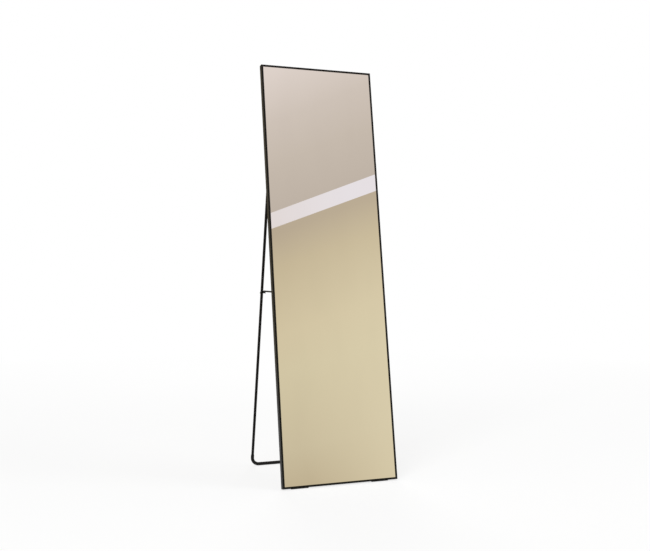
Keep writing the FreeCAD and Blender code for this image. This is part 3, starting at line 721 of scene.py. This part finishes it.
for side, sign in (("left", -1), ("right", 1)):
    hole = Vector(mounts[side + "_hanger_hole"]["pos_m"])
    plate = settle(hanger, side + "_pressed_hanger", Matrix.Translation(hole) @ leaning)
    dress(plate, zinc)
    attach(plate, "mirror")
    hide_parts(side + "_wall_hanger")
    for end, across in (("outer", sign * SCREW_ACROSS), ("inner", -sign * SCREW_ACROSS)):
        middle = hole + Vector((across, 0, 0)) + upwards * SCREW_ABOVE_HOLE
        fasten(f"{side}_{end}_hanger_screw", middle + backwards * PLATE_THICK / 2,
               "hanger_screws", zinc)
    edge = sign * (cad_high.x - SCREW_IN_FROM_EDGE)
    for end, rise in zip(("lower", "upper"), HINGE_TO_SCREWS):
        middle = hinge_line + upwards * rise - backwards * HINGE_BEHIND_PLATE
        fasten(f"{side}_{end}_bracket_screw", Vector((edge, middle.y, middle.z)),
               "bracket_screws", black_steel)
for pattern in (hanger, screw):
    bpy.data.objects.remove(pattern)
print("hangers and screws:", 2 + len(fastened), "pieces on the mirror")

# %% [markdown]
# The floor is a plain pale sheet. It is diffuse, so it keeps the shadow of the
# mirror. Brighter lamps could turn it white, but they would bleach the object
# too. So for whoever looks at it, straight or by way of metal or glass, most of
# it is a plain white glow, and further off all of it, as far as the backdrop.

# %% Floor
FLOOR_SIZE = 60.0
FLOOR_MOTTLE = 3.0
FLOOR_GLOW = 0.74
SHADOW_REACH = 1.4
FLOOR_FADE = 4.5
WHITE = (1, 1, 1, 1)


def looked_at(tree):
    """1 for a ray that somebody looks along, also by way of metal or glass, or else 0."""
    path = tree.nodes.new("ShaderNodeLightPath")
    seen, mirrored, through = (
        Wire(tree, path.outputs[ray]) for ray in ("Is Camera Ray", "Is Glossy Ray", "Is Transmission Ray"))
    return seen.math("MAXIMUM", seen, mirrored.math("MAXIMUM", mirrored, through))


def pale_floor(name):
    material, place = start(name)
    mottle = noise(place, FLOOR_MOTTLE, detail=3.0)
    matt = place.node("ShaderNodeBsdfDiffuse", None, {
        "Color": blend_colours(mottle, (0.90, 0.90, 0.895), (0.92, 0.92, 0.915)),
    })
    glow = place.node("ShaderNodeEmission", None, {"Color": WHITE})
    away = place.node("ShaderNodeVectorMath", {"operation": "LENGTH"}, {0: place}, "Value")
    far_off = spread(away, SHADOW_REACH, FLOOR_FADE)
    share = looked_at(place.tree) * (FLOOR_GLOW + far_off * (1 - FLOOR_GLOW))
    both = place.node("ShaderNodeMixShader", None, {0: share, 1: matt, 2: glow})
    place.node("ShaderNodeOutputMaterial", None, {"Surface": both})
    return material


bpy.ops.object.select_all(action="DESELECT")
bpy.ops.mesh.primitive_plane_add(size=FLOOR_SIZE)
floor = bpy.context.object
floor.name = "floor"
dress(floor, pale_floor("pale_floor"))
print("floor:", FLOOR_SIZE, "m wide")

# %% [markdown]
# The backdrop is the world itself, so it has no edge or corner from any side. To
# the eye it is plain white, but it lights the object with less than half of that,
# which leaves the lamps something to shape.

# %% Backdrop
SKY_LIGHT = 0.45


def white_backdrop(strength):
    """A world that lights softly and looks white from the camera."""
    world = bpy.data.worlds.new("backdrop")
    world.use_nodes = True
    tree = world.node_tree
    tree.nodes.clear()
    white = looked_at(tree)
    level = white * (1 - strength) + strength
    light = white.node("ShaderNodeBackground", None, {"Color": WHITE, "Strength": level})
    white.node("ShaderNodeOutputWorld", None, {"Surface": light})
    bpy.context.scene.world = world


white_backdrop(SKY_LIGHT)
print("backdrop: soft light of", SKY_LIGHT, "from all round")

# %% [markdown]
# A mirror only shows what stands in front of it, and in an empty white studio it
# would look like a sheet of paper. Photographers put up big cards for it. Here
# they are four side cards and a lid: the sides are warm, with a white strip along
# their top, and the lid is pale. A lit card would take its tone from the lamps, so
# each shines with its own colour instead, and a little brighter than it should
# look, because the silver keeps some of the light. The sides carry painted shade
# near their top, and the lid carries painted shade near the side card ahead.

# %% Colours of the cards
CARD_AHEAD = 3.7
CARD_TOP = 2.6196
FAR_END_STARTS = -1.7
FAR_END_FULL = -0.9
LID_PAINTED_SHADE_STARTS = -1.8
SILVER_LOSS = 1.06


def from_screen(red, green, blue):
    """What a card sends so that the mirror shows that screen colour, from 0 to 255.

    The curve is the usual one of screens, which holds for all but near-black.
    """
    light = [((c / 255 + 0.055) / 1.055) ** 2.4 for c in (red, green, blue)]
    return tuple(SILVER_LOSS * c for c in light)


def tones(value, stops):
    """A ramp of colours along value, each stop a place from 0 to 1 and a colour."""
    return value.node("ShaderNodeValToRGB", {"stops": stops}, {"Fac": value})


def warm_side_painted_shade(place):
    """Warm, with painted shade darkening it near its top; also darker near its bottom, lightest about half
    way up, and paler low down at its far end.
    """
    height = spread(part_of(place, "Z"), 0.0, CARD_TOP)
    warm = tones(height, [
        (0.12, from_screen(186, 169, 139)),
        (0.28, from_screen(201, 187, 157)),
        (0.50, from_screen(210, 197, 165)),
        (0.62, from_screen(210, 195, 163)),
        (0.82, from_screen(197, 181, 151)),
        (0.93, from_screen(184, 168, 146)),
    ])
    far = spread(part_of(place, "X"), FAR_END_STARTS, FAR_END_FULL) * (1 - height)
    return blend_colours(far, warm, from_screen(223, 210, 178))


def white_strip(place):
    """Almost white, a touch cooler at its far end."""
    return blend_colours(spread(part_of(place, "X"), FAR_END_STARTS, FAR_END_FULL),
                         from_screen(226, 216, 214), from_screen(230, 223, 227))


def pale_lid_painted_shade(place):
    """Pale pink-beige, with painted shade that darkens it where it comes near the side card ahead."""
    return tones(spread(part_of(place, "Y"), LID_PAINTED_SHADE_STARTS, -CARD_AHEAD), [
        (0.0, from_screen(222, 209, 202)),
        (0.3, from_screen(206, 193, 183)),
        (0.6, from_screen(198, 185, 173)),
        (1.0, from_screen(191, 178, 166)),
    ])


def glowing_card(name, colour_of):
    """A card that shines with the colours that colour_of works out from place."""
    material, place = start(name)
    finish_with(place, {
        "Base Color": (0, 0, 0, 1),
        "Specular IOR Level": 0.0,
        "Emission Color": colour_of(place),
        "Emission Strength": 1.0,
    })
    material.cycles.emission_sampling = "NONE"
    return material


card_colours = {"warm_side_painted_shade": warm_side_painted_shade, "white_strip": white_strip, "pale_lid_painted_shade": pale_lid_painted_shade}
card_finishes = [glowing_card(name, colour_of) for name, colour_of in card_colours.items()]
print("cards:", ", ".join(card_colours))

# %% [markdown]
# Five loose sheets would have to be fitted edge to edge, so the cards are one box
# with its bottom cut away. It is turned and tipped a little, because that sets how
# the strip crosses the mirror, and it stays turned as an object, so that its
# colours run along its own sides. Its faces take their finish by number, in the
# order above. Only glossy rays see it, so it shows in the mirror and in the sheen
# of the coat, but neither hides the object nor throws a shadow.

# %% Put up the cards
CARD_TURN = 42.79
CARD_TIP = -5.85
CARD_BEHIND = 2.6
CARD_SIDE = 5.2
CARD_LOW = -0.6
STRIP_LOW = 2.4867
STRIP = 1
LID = 2


def card_box():
    """Models the box round the mirror, opens its bottom and cuts the strip off its sides."""
    bpy.ops.object.select_all(action="DESELECT")
    bpy.ops.mesh.primitive_cube_add(
        size=1, location=(0, (CARD_BEHIND - CARD_AHEAD) / 2, (CARD_LOW + CARD_TOP) / 2))
    box = bpy.context.object
    box.name = "cards"
    box.scale = (2 * CARD_SIDE, CARD_AHEAD + CARD_BEHIND, CARD_TOP - CARD_LOW)
    bpy.ops.object.transform_apply(location=True, rotation=True, scale=True)
    select_faces(box, lambda face: face.normal.z < -FACING)
    bpy.ops.mesh.delete(type="FACE")
    bpy.ops.mesh.select_all(action="SELECT")
    bpy.ops.mesh.bisect(plane_co=(0, 0, STRIP_LOW), plane_no=(0, 0, 1))
    bpy.ops.mesh.select_all(action="SELECT")
    bpy.ops.mesh.flip_normals()
    bpy.ops.object.mode_set(mode="OBJECT")
    box.rotation_euler = (0, math.radians(CARD_TIP), math.radians(CARD_TURN))
    return box


cards = card_box()
for finish in card_finishes:
    cards.data.materials.append(finish)
for face in cards.data.polygons:
    if abs(face.normal.z) > FACING:
        face.material_index = LID
    elif face.center.z > STRIP_LOW:
        face.material_index = STRIP
for kind in ("camera", "diffuse", "transmission", "volume_scatter", "shadow"):
    setattr(cards, "visible_" + kind, False)
print("cards:", len(cards.data.polygons), "faces, turned", CARD_TURN, "degrees")

# %% [markdown]
# Three soft lamps light the mirror through the cards, which stop no light. One
# lamp would leave the stand lost in the dark on one side, so a broad one stands
# high on the left, a weaker one on the right, and one behind draws the edge of
# the stand. Each is given by its place, its width in metres and its watts.

# %% Lamps
LAMPS = {
    "left_lamp": ((-3.4, -3.6, 3.6), 2.6, 170),
    "right_lamp": ((3.8, -2.8, 3.0), 2.2, 80),
    "back_lamp": ((1.2, 4.2, 3.4), 2.4, 90),
}


def soft_lamp(name, place, size, power, target):
    """A square lamp at place that faces target."""
    data = bpy.data.lights.new(name, "AREA")
    data.size = size
    data.energy = power
    lamp = bpy.data.objects.new(name, data)
    lamp.location = place
    lamp.rotation_euler = (target - Vector(place)).to_track_quat("-Z", "Y").to_euler()
    bpy.context.scene.collection.objects.link(lamp)


for name, (place, size, power) in LAMPS.items():
    soft_lamp(name, place, size, power, Vector((0, 0, cad_high.z / 2)))
print("lamps:", len(bpy.data.lights))
